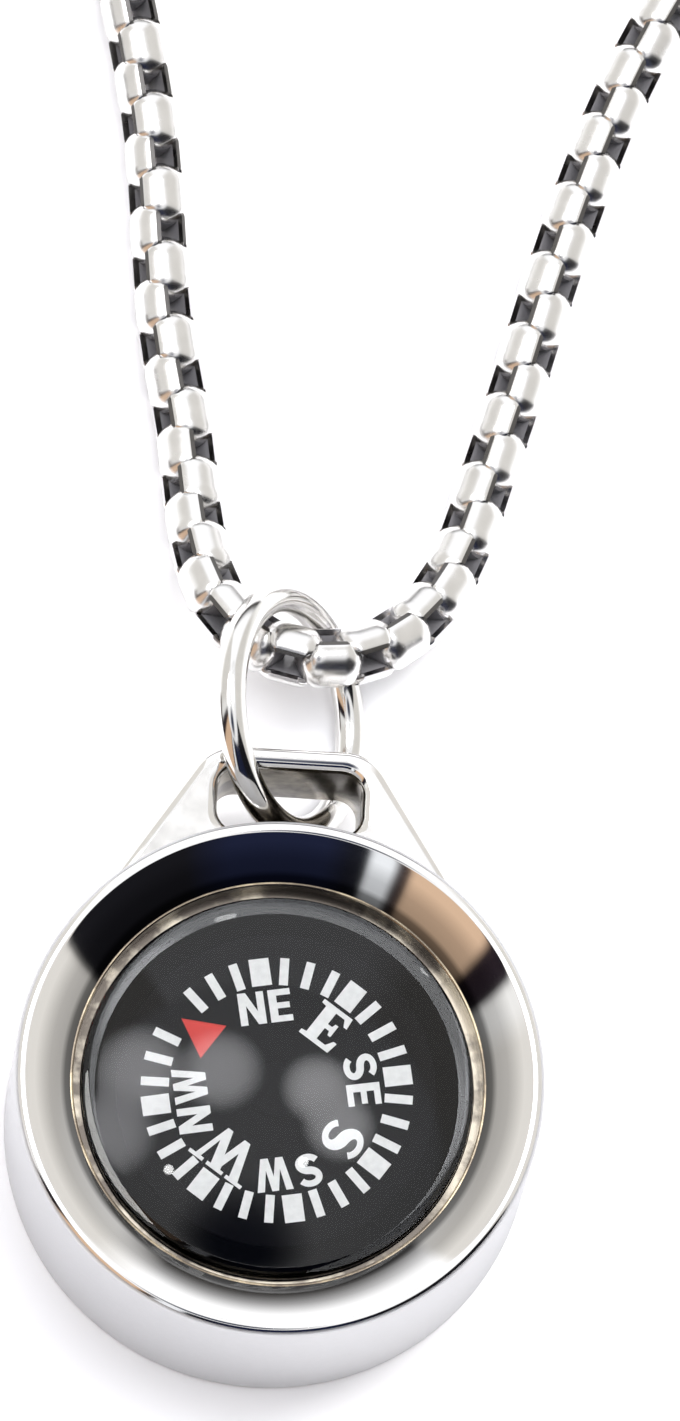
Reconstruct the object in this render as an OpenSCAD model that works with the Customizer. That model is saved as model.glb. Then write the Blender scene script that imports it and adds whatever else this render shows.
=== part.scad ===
// Compass pendant lying on its back, with its necklace chain laid out round its loop.
// Origin: centre of the case's back. +Z up out of the dial, +Y towards the lug and chain.

/* [Case] */
// Diameter of the round case
case_d = 27; // [25:0.5:32]
// Height of the case from its back to the crest of its rim
case_h = 12; // [11:0.5:14]
// Width of the rounded crest of the rim
crest_w = 0.9; // [0.6:0.1:1.2]
// Radius of the edge round the case's back
back_r = 0.5; // [0.2:0.1:1]
// Depth from the rim's crest to the ledge round the capsule
bezel_depth = 2.7; // [2.3:0.1:3]
// Width of the flat ledge round the capsule
ledge_w = 0.4; // [0.3:0.05:0.7]
// Height of the upright step between the ledge and the sloped bezel
bezel_step = 1.2; // [0.9:0.1:1.3]
// How far the sloped bezel bulges above a straight slope
bezel_bulge = 0.06; // [0.02:0.02:0.12]

/* [Lug] */
// How far the lug stands out beyond the case
lug_reach = 4.65; // [4:0.1:7]
// Height of the lug's middle above the surface that the case lies on
lug_z = 6; // [5.9:0.05:6.1]
// Thickness of the lug, across the height of the case
lug_t = 6.2; // [4:0.1:7]
// Distance between the centres of the lug's two round corners
lug_corner_gap = 5.6; // [4:0.1:7]
// Radius of the lug's round corners
lug_corner_r = 2.5; // [2:0.1:3]
// Thickness of the bar that the ring holds
bar_t = 1.15; // [0.8:0.05:1.5]
// Width of the slot through the lug
slot_w = 7.4; // [6:0.1:8]
// Height of the slot, from the bar to the case side
slot_h = 3.3; // [2.6:0.1:3.5]
// Radius of the slot's corners
slot_r = 0.8; // [0.3:0.1:1.2]
// Bevel round both mouths of the slot
slot_bevel = 0.7; // [0.5:0.1:0.8]

/* [Capsule] */
// Diameter of the compass capsule
capsule_d = 20; // [18:0.5:21]
// Gap round the capsule in its recess
capsule_gap = 0.05; // [0.03:0.01:0.2]
// Thickness of the case's floor under the capsule
case_floor = 2.4; // [1:0.1:2.8]
// Thickness of the cup's wall
cup_wall = 0.9; // [0.6:0.1:1.2]
// Thickness of the cup's floor
cup_floor = 0.9; // [0.6:0.1:1.2]
// Height of the clear dome above the ledge, at its middle
dome_rise = 2.3; // [1.5:0.1:3]
// Height of the dome's upright edge above the ledge
dome_edge = 0.3; // [0.1:0.1:0.6]
// Radius of the shoulder between the dome's edge and its top
dome_shoulder = 0.7; // [0.4:0.1:1]
// Thickness of the clear dome
dome_t = 0.8; // [0.5:0.1:1]
// Depth of the dome's skirt below the ledge
dome_skirt = 0.8; // [0.5:0.1:1.2]

/* [Card] */
// Diameter of the compass card
card_d = 16; // [13:0.5:16]
// Thickness of the compass card
card_t = 0.5; // [0.3:0.1:0.8]
// Depth of the card's top face below the ledge
card_drop = 0.95; // [0.9:0.05:1.5]
// Diameter of the round cap over the pivot
cap_d = 2.9; // [2:0.1:4]
// Height of the round cap on the card
cap_h = 0.2; // [0.1:0.05:0.4]
// Diameter of the hub under the card
hub_d = 2.6; // [2:0.1:4]
// Depth of the hub under the card
hub_h = 1.1; // [0.8:0.1:2]
// Diameter of the pivot pin's point
pin_d = 0.5; // [0.4:0.05:0.8]
// Radial play between the pin and the hub
pin_play = 0.08; // [0.05:0.01:0.1]

/* [Jump ring] */
// Inside diameter of the jump ring
ring_id = 10.5; // [10:0.1:12]
// Diameter of the jump ring's wire
ring_wire = 1.55; // [1.2:0.05:1.8]
// Slope of the ring's plane to the surface it lies on
ring_tilt = 56; // [55:0.5:58]
// Gap between the ring and the lug's bar
ring_gap = 0.35; // [0.3:0.05:0.4]

/* [Necklace] */
// Width of the necklace's loop as it lies, between the middles of its strands
loop_w = 114; // [110:1:118]
// Distance from the middle of the case to the far end of the loop
loop_y = 222; // [216:1:228]

// Twist of the left strand, which turns its right row of pads to face up
strand_twist = 25; // [0:1:30]

/* [Chain] */
// Length of one link along the chain
link_len = 3.1; // [3:0.05:3.2]
// Width of a link from pad to pad
link_w = 3.1; // [2.9:0.05:3.3]
// Diameter that the chain's outside is rounded to
chain_d = 3.3; // [3.1:0.05:3.5]
// Width of the strip that a link is bent from
strip_w = 1.9; // [1.5:0.05:2]
// Thickness of a link's side pads
pad_t = 0.42; // [0.3:0.02:0.46]
// Thickness of a link's end bars
end_t = 0.32; // [0.28:0.01:0.36]
// Radius of a link's bent corners
link_bend_r = 0.45; // [0.3:0.05:0.6]
// Radius of the strip's corners, seen flat
strip_corner_r = 0.72; // [0.65:0.01:0.8]
// Play between the end bars of two neighbouring links
link_play = 0.46; // [0.4:0.01:0.5]

/* [Clasp] */
// Length of the clasp
clasp_len = 11; // [9:0.5:14]
// Width of the clasp's body
clasp_w = 5; // [4:0.5:6]
// Thickness of the clasp's ends
clasp_t = 0.8; // [0.6:0.05:0.9]
// Diameter of the clasp's eye
eye_hole_d = 2.2; // [2.1:0.1:2.5]
// Width of metal round the clasp's eye
eye_rim = 0.7; // [0.5:0.05:0.8]
// Width of metal round the clasp's opening
clasp_rim = 1; // [0.8:0.1:1.3]
// Inside diameter of the small rings at the chain's ends
end_ring_id = 2.7; // [2.6:0.1:2.9]
// Diameter of the small rings' wire
end_ring_wire = 0.65; // [0.5:0.05:0.7]

/* [Hidden] */

// Height of everything that lies on the surface above it
lie_gap = 0.03;
// Overlap that a cut reaches past the face it opens
cut = 1;
// Facets that show a round face
round_fn = 96;
// Steps in a rounded corner of an outline
corner_steps = 6;
// Steps in a rounded corner of a link
link_steps = 1;
// Sides of the link's rounded outside
link_sides = 12;
// Steps in a rounded corner or arc of a turned profile
turn_steps = 8;
// Steps between two points of the chain's route
route_steps = 8;
// Roll of the links about the chain, so that two rows of pads face up
link_roll = 45;
// Length of chain over which the left strand's twist comes in or goes out
twist_run = 30;
// Turn of the rim's crest, from its top to where it runs on into the bezel
crest_turn = 30;
// Gap between two pieces that are set into each other
seat_gap = 0.05;
// How far the foot of the lug reaches under the side of the case
foot_sink = 0.1;
// Flat left in the middle of a round end, so that no two of its points meet
end_flat = 0.01;
// Gap between a small ring and what it holds
ring_seat_gap = 0.25;
// Gap between a small ring and the round end of the clasp's opening
hook_gap = 0.6;

case_r = case_d / 2;
ledge_z = case_h - bezel_depth;
recess_r = capsule_d / 2 + capsule_gap;
ledge_r = recess_r + ledge_w;
bezel_r = case_r - crest_w;
crest_r = crest_w / 2;

lug_top = case_r + lug_reach;
corner_y = lug_top - lug_corner_r;
corner_x = lug_corner_gap / 2;
slot_top = lug_top - bar_t;
slot_y = slot_top - slot_h / 2;
// The shoulders run from the lug's corners to the case's side, just inside it
shoulder_r = case_r - foot_sink;
shoulder_dist = norm([corner_x, corner_y]);
shoulder_a = atan2(corner_y, corner_x) - acos((shoulder_r - lug_corner_r) / shoulder_dist);

capsule_r = capsule_d / 2;
cup_z = case_floor + seat_gap;
cup_top = ledge_z - dome_skirt;
dome_z = cup_top + seat_gap;
dome_top = ledge_z + dome_rise;
cup_inner_r = capsule_r - cup_wall;
card_top = ledge_z - card_drop;
card_z = card_top - card_t;
hub_z = card_z - hub_h;
pin_r = pin_d / 2;
pin_bore_r = pin_r + pin_play;
pin_top = card_z - seat_gap;

ring_r = (ring_id + ring_wire) / 2;
ring_z = ring_r * sin(ring_tilt) + ring_wire / 2 + lie_gap;
bar_low = (abs(ring_z - lug_z) + lug_t / 2 - slot_bevel) / sin(ring_tilt);
ring_y = slot_top + sqrt(pow(ring_id / 2 - ring_gap, 2) - pow(bar_low, 2));

link_pitch = link_len - 2 * end_t - link_play;
chain_z = chain_d / 2 + lie_gap;

// The wide part of the loop, from its far end down to the strands: how far out each
// point lies as a share of the loop's width, and how far up as a share of its height
RIGHT_SIDE = [
    [0.096, 0.999],
    [0.246, 0.972],
    [0.395, 0.898],
    [0.491, 0.784],
    [0.518, 0.647],
    [0.482, 0.504],
    [0.404, 0.362],
    [0.298, 0.236],
    [0.202, 0.134]
];
LEFT_SIDE = [
    [0.096, 0.999],
    [0.246, 0.972],
    [0.395, 0.898],
    [0.482, 0.784],
    [0.482, 0.647],
    [0.404, 0.504],
    [0.289, 0.362],
    [0.184, 0.236],
    [0.114, 0.134]
];
// The two strands and the turn through the jump ring, from right to left: x, y, and
// the height above the lying chain
RING_PASS = [
    [16, 56.5, 0],
    [12.8, 46.5, 0],
    [11, 39.5, 0],
    [9.8, 35.2, 0.05],
    [8.9, 31.9, 0.4],
    [7.8, 29, 1.1],
    [6.2, 26.6, 1.9],
    [4.2, 24.9, 2.8],
    [1.9, 24.1, 3.4],
    [-0.4, 24.2, 3.6],
    [-2.4, 25.2, 3.3],
    [-3.8, 26.8, 2.7],
    [-4.6, 28.8, 2],
    [-5.1, 31, 1.2],
    [-5.5, 33.6, 0.5],
    [-6, 37, 0.05],
    [-6.9, 41, 0],
    [-8.6, 54, 0]
];
side_low = RING_PASS[1][1];
function side_point(share, side) =
    [side * share[0] * loop_w, side_low + share[1] * (loop_y - side_low), 0];
// Middle line of the necklace, from the clasp down the right strand, through the
// jump ring and up the left strand
CHAIN_ROUTE = concat(
    [[0, loop_y, 0]],
    [for (share = RIGHT_SIDE) side_point(share, 1)],
    RING_PASS,
    [for (i = [len(LEFT_SIDE) - 1:-1:0]) side_point(LEFT_SIDE[i], -1)]
);

// Points of a rounded rectangle, width along x, its corners in the given steps
function round_rect(w, h, r, steps) =
    [for (q = [0:3], s = [0:steps])
        let (a = 90 * (q + s / steps),
             cx = (q == 0 || q == 3 ? 1 : -1) * (w / 2 - r),
             cy = (q < 2 ? 1 : -1) * (h / 2 - r))
        [cx + r * cos(a), cy + r * sin(a)]];

// Points of an arc from angle a0 to a1, ends included
function arc(c, r, a0, a1) =
    [for (s = [0:turn_steps])
        let (a = a0 + (a1 - a0) * s / turn_steps)
        [c[0] + r * cos(a), c[1] + r * sin(a)]];

// Points between p0 and p1, bowed to one side by the given depth
function bow(p0, p1, depth) =
    let (along = p1 - p0, side = [along[1], -along[0]] / norm(along))
    [for (s = [0:turn_steps])
        let (t = s / turn_steps)
        p0 + along * t + side * depth * 4 * t * (1 - t)];

// The dome's crown is an arc that runs on smoothly into its round shoulder
shoulder_c = [capsule_r - dome_shoulder, ledge_z + dome_edge];
crown_h = dome_rise - dome_edge;
crown_r = (pow(shoulder_c[0], 2) + pow(crown_h, 2) - pow(dome_shoulder, 2))
    / (2 * (crown_h - dome_shoulder));
crown_c = [0, dome_top - crown_r];
shoulder_top_a = atan2(shoulder_c[1] - crown_c[1], shoulder_c[0]);

module case_body() {
    crest = [bezel_r + crest_r, case_h - crest_r];
    back = [case_r - back_r, back_r];
    rotate_extrude($fn = round_fn)
        polygon(concat(
            [[0, 0]],
            arc(back, back_r, -90, 0),
            arc(crest, crest_r, 0, 90),
            [[0, case_h]]));
}

module lug_outline() {
    polygon([
        [corner_x + lug_corner_r * cos(shoulder_a), corner_y + lug_corner_r * sin(shoulder_a)],
        [corner_x, lug_top],
        [-corner_x, lug_top],
        [-corner_x - lug_corner_r * cos(shoulder_a), corner_y + lug_corner_r * sin(shoulder_a)],
        [-shoulder_r * cos(shoulder_a), shoulder_r * sin(shoulder_a)],
        [0, 0],
        [shoulder_r * cos(shoulder_a), shoulder_r * sin(shoulder_a)]]);
    for (side = [-1, 1])
        translate([side * corner_x, corner_y])
            circle(r = lug_corner_r, $fn = 64);
}

// Slot through the lug, with a bevel along the bar at both mouths
module slot_cut() {
    translate([0, slot_y, lug_z])
        linear_extrude(height = lug_t + 2 * cut, center = true)
            polygon(round_rect(slot_w, slot_h, slot_r, corner_steps));
    for (side = [-1, 1])
        translate([0, slot_top, lug_z + side * lug_t / 2])
            rotate([45, 0, 0])
                cube([slot_w - slot_r, slot_bevel * sqrt(2), slot_bevel * sqrt(2)], center = true);
}

// Everything inside the rim: the bezel's slope and step, the ledge and the capsule's recess
module case_hollow() {
    crest = [bezel_r + crest_r, case_h - crest_r];
    bezel_top = crest + crest_r * [-sin(crest_turn), cos(crest_turn)];
    rotate_extrude($fn = round_fn)
        polygon(concat(
            [[0, case_floor], [recess_r, case_floor], [recess_r, ledge_z], [ledge_r, ledge_z]],
            bow([ledge_r, ledge_z + bezel_step], bezel_top, -bezel_bulge),
            arc(crest, crest_r, 90 + crest_turn, 90),
            [[crest[0], case_h + cut], [0, case_h + cut]]));
}

module case() {
    color("gainsboro")
    difference() {
        union() {
            case_body();
            difference() {
                translate([0, 0, lug_z])
                    linear_extrude(height = lug_t, center = true)
                        lug_outline();
                slot_cut();
            }
        }
        case_hollow();
    }
}

// Cup of the capsule, with the pivot pin standing in its middle
module compass_cup() {
    inner_z = cup_z + cup_floor;
    pin_base_r = hub_d / 2;
    color("black")
    rotate_extrude($fn = round_fn)
        polygon([
            [0, cup_z],
            [capsule_r, cup_z],
            [capsule_r, cup_top],
            [cup_inner_r, cup_top],
            [cup_inner_r, inner_z],
            [pin_base_r, inner_z],
            [pin_r, hub_z - pin_d],
            [pin_r, pin_top],
            [0, pin_top]]);
}

// Card with the cap over its pivot, and the hub that stands on the pin
module compass_card() {
    color("dimgray")
    difference() {
        union() {
            translate([0, 0, card_z])
                cylinder(d = card_d, h = card_t, $fn = round_fn);
            translate([0, 0, hub_z])
                cylinder(d = hub_d, h = hub_h + card_t / 2, $fn = 48);
            translate([0, 0, card_top - card_t / 2])
                cylinder(d = cap_d, h = cap_h + card_t / 2, $fn = 48);
        }
        translate([0, 0, hub_z - cut])
            cylinder(r = pin_bore_r, h = pin_top - hub_z + cut + seat_gap, $fn = 32);
    }
}

module compass_dome() {
    color("lightblue", 0.4)
    rotate_extrude($fn = round_fn)
        polygon(concat(
            [[cup_inner_r, dome_z], [capsule_r, dome_z]],
            arc(shoulder_c, dome_shoulder, 0, shoulder_top_a),
            arc(crown_c, crown_r, shoulder_top_a, 90),
            arc(crown_c, crown_r - dome_t, 90, acos(cup_inner_r / (crown_r - dome_t)))));
}

module jump_ring() {
    color("silver")
    translate([0, ring_y, ring_z])
        rotate([0, ring_tilt, 0])
            rotate_extrude($fn = 64)
                translate([ring_r, 0])
                    circle(d = ring_wire, $fn = 24);
}

// One link along x: a bent strip, closed to a box, with its hole along z
module link() {
    intersection() {
        linear_extrude(height = strip_w, center = true)
            difference() {
                polygon(round_rect(link_len, link_w, link_bend_r, link_steps));
                square([link_len - 2 * end_t, link_w - 2 * pad_t], center = true);
            }
        rotate([90, 0, 0])
            linear_extrude(height = link_w + cut, center = true)
                polygon(round_rect(link_len, strip_w, strip_corner_r, link_steps));
        rotate([0, 90, 0])
            rotate([0, 0, 180 / link_sides])
                cylinder(d = chain_d, h = link_len + cut, center = true, $fn = link_sides);
    }
}

// Closed smooth curve through the route's points, with its length counted along it
route_n = len(CHAIN_ROUTE);
function route_at(i) =
    let (p = CHAIN_ROUTE[(i + route_n) % route_n])
    [p[0], p[1], p[2] + chain_z];
function route_slope(i) =
    let (a = route_at(i) - route_at(i - 1), b = route_at(i + 1) - route_at(i))
    (a / norm(a) * norm(b) + b / norm(b) * norm(a)) / (norm(a) + norm(b));
function route_between(i, t) =
    let (d = norm(route_at(i + 1) - route_at(i)))
    route_at(i) * (1 + 2 * t) * pow(1 - t, 2)
    + route_slope(i) * d * t * pow(1 - t, 2)
    + route_at(i + 1) * t * t * (3 - 2 * t)
    + route_slope(i + 1) * d * t * t * (t - 1);
curve = concat(
    [for (i = [0:route_n - 1], s = [0:route_steps - 1]) route_between(i, s / route_steps)],
    [route_at(0)]);
curve_n = len(curve);
curve_steps = [for (i = [0:curve_n - 1]) norm(curve[min(i + 1, curve_n - 1)] - curve[i])];
curve_s = [for (i = 0, s = 0; i < curve_n; s = s + curve_steps[i], i = i + 1) s];
route_len = curve_s[curve_n - 1];
curve_x = [for (i = [0:curve_n - 1]) [curve_s[i], curve[i][0]]];
curve_y = [for (i = [0:curve_n - 1]) [curve_s[i], curve[i][1]]];
curve_z = [for (i = [0:curve_n - 1]) [curve_s[i], curve[i][2]]];
function along(s) = [lookup(s, curve_x), lookup(s, curve_y), lookup(s, curve_z)];

// Lays what it is given at a place along the route, its x along the chain
module lay(s, roll = 0) {
    p = along(s);
    reach = link_pitch / 2;
    d = along(min(s + reach, route_len)) - along(max(s - reach, 0));
    translate(p)
        rotate([0, -asin(d[2] / norm(d)), atan2(d[1], d[0])])
            rotate([roll, 0, 0])
                children();
}

// Where the small rings cross the clasp's eye, its opening and the end links,
// measured from the middle of the clasp or of the link
end_ring_r = (end_ring_id + end_ring_wire) / 2;
end_ring_seat = end_ring_wire / 2 + ring_seat_gap;
eye_r = eye_hole_d / 2 + eye_rim;
eye_x = clasp_len / 2 - eye_r;
eye_seat = eye_x;
hook_seat = clasp_len / 2 - clasp_rim - end_ring_wire / 2 - hook_gap;
link_seat = link_len / 2 - end_t - end_ring_seat;
chain_start = eye_seat + 2 * end_ring_r + link_seat;
chain_end = route_len - hook_seat - 2 * end_ring_r - link_seat;

// Steps from link to link, and their length fitted to the route
link_gaps = floor((chain_end - chain_start) / link_pitch);
spacing = (chain_end - chain_start) / link_gaps;
// The left strand is twisted from beyond the jump ring to short of the clasp
pass_s = curve_s[(len(RIGHT_SIDE) + len(RING_PASS)) * route_steps];
function twist_at(s) = lookup(s, [
    [pass_s - twist_run, 0], [pass_s, -strand_twist],
    [route_len - 2 * twist_run, -strand_twist], [route_len - twist_run, 0]]);
function roll_of(i) =
    (i % 2 == 0 ? 1 : -1) * link_roll + twist_at(chain_start + i * spacing);

module chain() {
    color("silver")
    for (i = [0:link_gaps])
        lay(chain_start + i * spacing, roll_of(i))
            link();
}

// Closed clasp with an eye at one end, thicker in its middle, where it lies
module clasp() {
    body_len = clasp_len - eye_r - eye_hole_d / 2;
    body_x = (body_len - clasp_len) / 2;
    grip_len = body_len - clasp_w;
    color("silver")
    lay(0)
        difference() {
            union() {
                linear_extrude(height = clasp_t, center = true) {
                    translate([body_x, 0])
                        polygon(round_rect(body_len, clasp_w, clasp_w / 2 - end_flat, corner_steps));
                    translate([eye_x / 2, -eye_r / 2])
                        square([eye_x / 2, eye_r]);
                    translate([eye_x, 0])
                        circle(r = eye_r, $fn = 48);
                }
                translate([body_x, 0, 0])
                    cube([grip_len, clasp_w, 2 * (chain_z - lie_gap)], center = true);
            }
            linear_extrude(height = 2 * chain_z + cut, center = true) {
                translate([body_x, 0])
                    polygon(round_rect(body_len - 2 * clasp_rim, clasp_w - 2 * clasp_rim,
                        clasp_w / 2 - clasp_rim - end_flat, corner_steps));
                translate([eye_x, 0])
                    circle(d = eye_hole_d, $fn = 48);
            }
        }
}

// Small round ring in the plane of an end link's hole
module end_ring(s, roll) {
    color("silver")
    lay(s, roll + 90)
        rotate_extrude($fn = 48)
            translate([end_ring_r, 0])
                circle(d = end_ring_wire, $fn = 24);
}

module chain_end_ring() {
    end_ring(eye_seat + end_ring_r, roll_of(0));
}

module clasp_ring() {
    end_ring(route_len - hook_seat - end_ring_r, roll_of(link_gaps));
}

case();
compass_cup();
compass_card();
compass_dome();
jump_ring();
chain();
clasp();
clasp_ring();
chain_end_ring();
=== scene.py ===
"""Looks of the compass pendant: refined meshes, finishes, light and camera round the fixed frame."""
import math

import bmesh
import bpy
from mathutils import Matrix, Quaternion, Vector


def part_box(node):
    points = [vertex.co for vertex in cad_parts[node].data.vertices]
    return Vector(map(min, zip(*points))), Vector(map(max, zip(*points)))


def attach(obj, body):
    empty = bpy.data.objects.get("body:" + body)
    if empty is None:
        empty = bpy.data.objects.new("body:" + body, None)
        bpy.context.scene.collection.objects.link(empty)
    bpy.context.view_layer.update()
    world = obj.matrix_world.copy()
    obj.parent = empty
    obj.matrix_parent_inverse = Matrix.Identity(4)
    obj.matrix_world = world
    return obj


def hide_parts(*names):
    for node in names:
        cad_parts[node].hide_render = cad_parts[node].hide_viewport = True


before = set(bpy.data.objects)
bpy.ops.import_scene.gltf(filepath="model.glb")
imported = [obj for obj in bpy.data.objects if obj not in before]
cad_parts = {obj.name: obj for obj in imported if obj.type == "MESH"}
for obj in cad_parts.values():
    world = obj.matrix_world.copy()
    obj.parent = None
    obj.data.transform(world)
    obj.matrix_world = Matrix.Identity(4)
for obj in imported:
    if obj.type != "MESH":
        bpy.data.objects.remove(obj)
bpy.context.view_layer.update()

MM = 0.001
TAU = 2 * math.pi

# Sizes read from the frame
case_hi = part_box("case")[1]
cup_lo, cup_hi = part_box("compass_cup")
dome_lo, dome_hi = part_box("compass_dome")
card_lo, card_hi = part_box("compass_card")
ring_lo, ring_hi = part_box("jump_ring")

CASE_R = case_hi.x
CASE_H = case_hi.z
LUG_TOP = case_hi.y
CAPSULE_R = cup_hi.x
CARD_R = card_hi.x

# Sizes of the case that the frame's boxes don't give. The lug's round edges, the corners of its slot
# and the rim of the step are the look's own, and the others are as in the part's source
CREST_W = 0.9 * MM
CREST_TURN = 30.0
BACK_R = 0.5 * MM
BEZEL_DEPTH = 2.7 * MM
BEZEL_STEP = 1.2 * MM
BEZEL_BULGE = 0.06 * MM
LEDGE_W = 0.4 * MM
CAPSULE_GAP = 0.05 * MM
CASE_FLOOR = 2.4 * MM
LUG_T = 6.2 * MM
LUG_Z = 6.0 * MM
LUG_CORNER_X = 2.8 * MM
LUG_CORNER_R = 2.5 * MM
LUG_EDGE_R = 0.55 * MM
BAR_T = 1.15 * MM
SLOT_W = 7.4 * MM
SLOT_H = 3.3 * MM
SLOT_R = 1.1 * MM
STEP_RIM_W = 0.15 * MM
STEP_RIM_DROP = STEP_RIM_W / 4
STEP_RIM_BULGE = STEP_RIM_W / 6
LEDGE_Z = CASE_H - BEZEL_DEPTH
STEP_Z = LEDGE_Z + BEZEL_STEP
RECESS_R = CAPSULE_R + CAPSULE_GAP
LEDGE_R = RECESS_R + LEDGE_W
BEZEL_R = CASE_R - CREST_W
# Where the satin of the side and the finish of the bezel end on the crest
SATIN_R = CASE_R - 0.2 * CREST_W
BEZEL_END_R = BEZEL_R + CREST_W / 4
# Where the lug's shoulders meet the case's side, just inside it, and where its root ends in the wall
SHOULDER_R = CASE_R - 0.1 * MM
LUG_ROOT_R = RECESS_R + 1.2 * MM
# Steps round the case, and in its back's edge, its crest and bezel, and the rim of its step
CASE_STEPS = 256
BACK_STEPS = 6
CREST_STEPS = 16
RIM_STEPS = 4
# Steps in the lug's corners, its root, its slot's corners and its round edges
LUG_CORNER_STEPS = 12
LUG_ROOT_STEPS = 24
SLOT_STEPS = 8
LUG_EDGE_STEPS = 4
# How near the slot a face counts as its wall, and how upright or level a face of the lug then is
SLOT_REACH = 0.1 * MM
UPRIGHT = 0.3
LEVEL = 0.99
# Finishes of the case, in the order of its materials. The rim, bezel, lug top and recess have painted shade
# in their colours
POLISHED, SATIN, RIM, BEZEL, SHADED_LUG_TOP, RECESS = range(6)

# Sizes of the capsule and its card
DOME_SHOULDER = 0.7 * MM
DOME_EDGE = 0.3 * MM
CUP_WALL = 0.9 * MM
CUP_FLOOR = 0.9 * MM
# The liquid reaches a little into the cup, so that no air gap mirrors at their wall
LIQUID_SINK = 0.02 * MM
HUB_H = 1.1 * MM
CARD_EDGE_R = 0.05 * MM
CAP_R = 1.45 * MM
CAP_H = 0.2 * MM
CARD_TOP = card_hi.z - CAP_H
PRINT_T = 0.02 * MM
# Steps round the cup and card and round the dome, and in the dome's shoulder and crown
CAPSULE_STEPS = 128
DOME_STEPS = 192
SHOULDER_STEPS = 12
CROWN_STEPS = 24

# Dial marks: where the north mark points, clockwise from +Y seen from above
NORTH = -55.4
MARKS = 32
BLOCK_EVERY = 4
TICK_OUT = 6.78 * MM
TICK_LEN = 1.42 * MM
TICK_W = 0.45 * MM
BLOCK_W = 1.0 * MM
NORTH_W = 2.1 * MM
NORTH_FOOT = 3.95 * MM
NORTH_TIP = 5.95 * MM
# Height of a letter and how far its middle lies from the dial's, for one letter alone and for two
MAIN_LETTER = (2.15 * MM, 4.1 * MM)
SIDE_LETTER = (1.68 * MM, 4.25 * MM)
# The words of the dial clockwise from north, and the angle between them
WORDS = ("NE", "E", "SE", "S", "SW", "W", "NW")
WORD_TURN = 45
# In shares of a letter's height: the gap between two letters, the thick and thin stroke of an S, how
# far its thick part reaches from its middle, and half the width of its bows. Then the angles along
# its upper and lower bow
LETTER_GAP = 0.13
MAIN_S = (0.3, 0.15)
SIDE_S = (0.23, 0.19)
S_SPINE = 0.35
S_WIDE = 0.28
S_UPPER = range(30, 271, 15)
S_LOWER = range(75, -151, -15)

# The jump ring's wire, and the slope of its plane to the floor in degrees
RING_WIRE = 1.55 * MM
RING_TILT = 56.0
RING_STEPS = 160
WIRE_SIDES = 32

# Painted shade of the bezel from its foot to its crest: share of the way up, share of the steel's colour
BEZEL_PAINTED_SHADE = ((0.0, 0.12), (0.14, 0.17), (0.27, 0.52), (0.54, 0.60), (0.67, 0.72), (0.8, 0.86), (0.93, 1.0))

# Sizes of a link as it looks: longer, with a wider strip and rounder bends than the solid links,
# which have to keep clear of each other
LINK_LEN = 3.35 * MM
LINK_W = 3.1 * MM
CHAIN_R = 1.65 * MM
STRIP_W = 2.7 * MM
PAD_T = 0.42 * MM
END_T = 0.32 * MM
EDGE_T = 0.05 * MM
LINK_BEND_R = 1.0 * MM
LINK_BEND_STEPS = 5
# Where the last row of the flat pad lies, as a share of the link's half length
PAD_ROW = 0.3
# Width of the end bars as a share of the pads', and how fast a bend widens to the pads' width. A
# stretch is a bar if the sideways parts of its two outward ways add up to less than BAR_LEAN
BAR_SHARE = 0.55
BEND_WIDEN = 1.25
BAR_LEAN = 0.5
# Width of the strip's inside as a share of its outside's
INSIDE_SHARE = 0.75
# Links whose middles are nearer than this are neighbours
NEIGHBOUR = 2.6 * MM
# Step in degrees of the search for the way of a link's hole
HOLE_TURN = 3
# Places across the strip, as shares of its half width, and how deep in mm its edge rounds off there
STRIP_EDGE = ((-1.0, 0.22), (-0.94, 0.11), (-0.88, 0.05), (-0.6, 0.0), (-0.3, 0.0), (0.0, 0.0),
              (0.3, 0.0), (0.6, 0.0), (0.88, 0.05), (0.94, 0.11), (1.0, 0.22))
# Finishes of the chain, in the order of its materials: the steel of the pads, then painted shade for the
# inside, for the strip's sides and upper edges, and for its lower edges
PAD, INSIDE, CORNER, EDGE = range(4)

# Angles up to which an edge is shaded smooth
SMOOTH = 35.0
LINK_SMOOTH = 50.0
# Corners nearer than this become one, in the look's meshes and in the frame's chain, and a point of
# a profile nearer than this to the axis lies on it
MERGE = 1e-8
CHAIN_MERGE = 1e-7
ON_AXIS = 1e-9
# Values of the noise between which a finish varies, and those where the painted glints on the shaded rim and
# recess brighten
VARIES = (0.3, 0.7)
GLINT_NOISE = (0.45, 0.62)
# How much darker and lighter the colour of a metal and of a plastic gets
METAL_TINTS = (0.96, 1.03)
PLASTIC_TINTS = (0.94, 1.04)
# Index of refraction of the clear dome with its liquid, and how much its outside mirrors
CLEAR_IOR = 1.45
CLEAR_SHINE = 0.25


# Node helpers for the materials
def new_material(name):
    mat = bpy.data.materials.new(name)
    mat.use_nodes = True
    tree = mat.node_tree
    shader = tree.nodes["Principled BSDF"]
    return mat, tree, shader


def coords(tree):
    return tree.nodes.new("ShaderNodeTexCoord").outputs["Object"]


def noise(tree, vector, scale, detail=3.0, rough=0.5):
    node = tree.nodes.new("ShaderNodeTexNoise")
    node.inputs["Scale"].default_value = scale
    node.inputs["Detail"].default_value = detail
    node.inputs["Roughness"].default_value = rough
    tree.links.new(vector, node.inputs["Vector"])
    return node.outputs["Fac"]


def ramp(tree, value, stops):
    node = tree.nodes.new("ShaderNodeValToRGB")
    while len(node.color_ramp.elements) < len(stops):
        node.color_ramp.elements.new(0.5)
    for element, (pos, colour) in zip(node.color_ramp.elements, stops):
        element.position = pos
        element.color = (*colour, 1.0)
    tree.links.new(value, node.inputs["Fac"])
    return node.outputs["Color"]


def varied(tree, value, low, high):
    """A colour that goes from low to high where the noise does."""
    return ramp(tree, value, [(VARIES[0], low), (VARIES[1], high)])


def tints(colour, shares):
    return [tuple(c * share for c in colour) for share in shares]


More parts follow.
